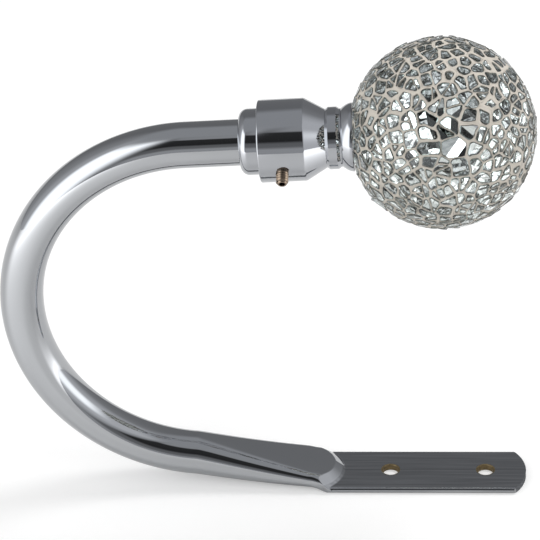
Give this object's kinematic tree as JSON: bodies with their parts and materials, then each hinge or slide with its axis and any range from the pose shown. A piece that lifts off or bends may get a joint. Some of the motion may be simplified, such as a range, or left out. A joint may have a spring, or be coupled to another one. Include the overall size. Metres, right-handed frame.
{
  "type": "curtain tieback",
  "caption": "Curtain tieback: chromed U-bent tube hook with a flattened drilled wall tongue, a turned collar and a ball finial covered in crackled mirror mosaic.",
  "frame": {"origin": "midway between the two wall holes, on the wall face of the flattened tongue", "axes": "+X along the tongue to its free end, +Z out from the wall towards the ball's arm, +Y across the tongue"},
  "size_m": [0.1903, 0.0659, 0.1772],
  "materials": {
    "chrome_tube": "bright chrome plate on steel tube",
    "chrome_collar": "bright chrome plate on turned zinc alloy",
    "screw_steel": "nickel-plated steel, slightly brown",
    "stud_steel": "zinc-plated steel thread",
    "insert_brass": "turned brass",
    "core_resin": "moulded resin, hidden",
    "grout": "matt off-white cement grout",
    "mirror_glass": "crackled mirror glass, silvered at the back"
  },
  "bodies": {
    "root": {"hook": "chrome_tube", "collar": "chrome_collar", "set_screw": "screw_steel", "stud": "stud_steel", "threaded_insert": "insert_brass", "ball_core": "core_resin", "grout": "grout", "mirror_glass_1": "mirror_glass", "mirror_glass_2": "mirror_glass", "mirror_glass_3": "mirror_glass", "mirror_glass_4": "mirror_glass", "mirror_glass_5": "mirror_glass", "mirror_glass_6": "mirror_glass", "mirror_glass_7": "mirror_glass", "mirror_glass_8": "mirror_glass"}
  },
  "joints": []
}
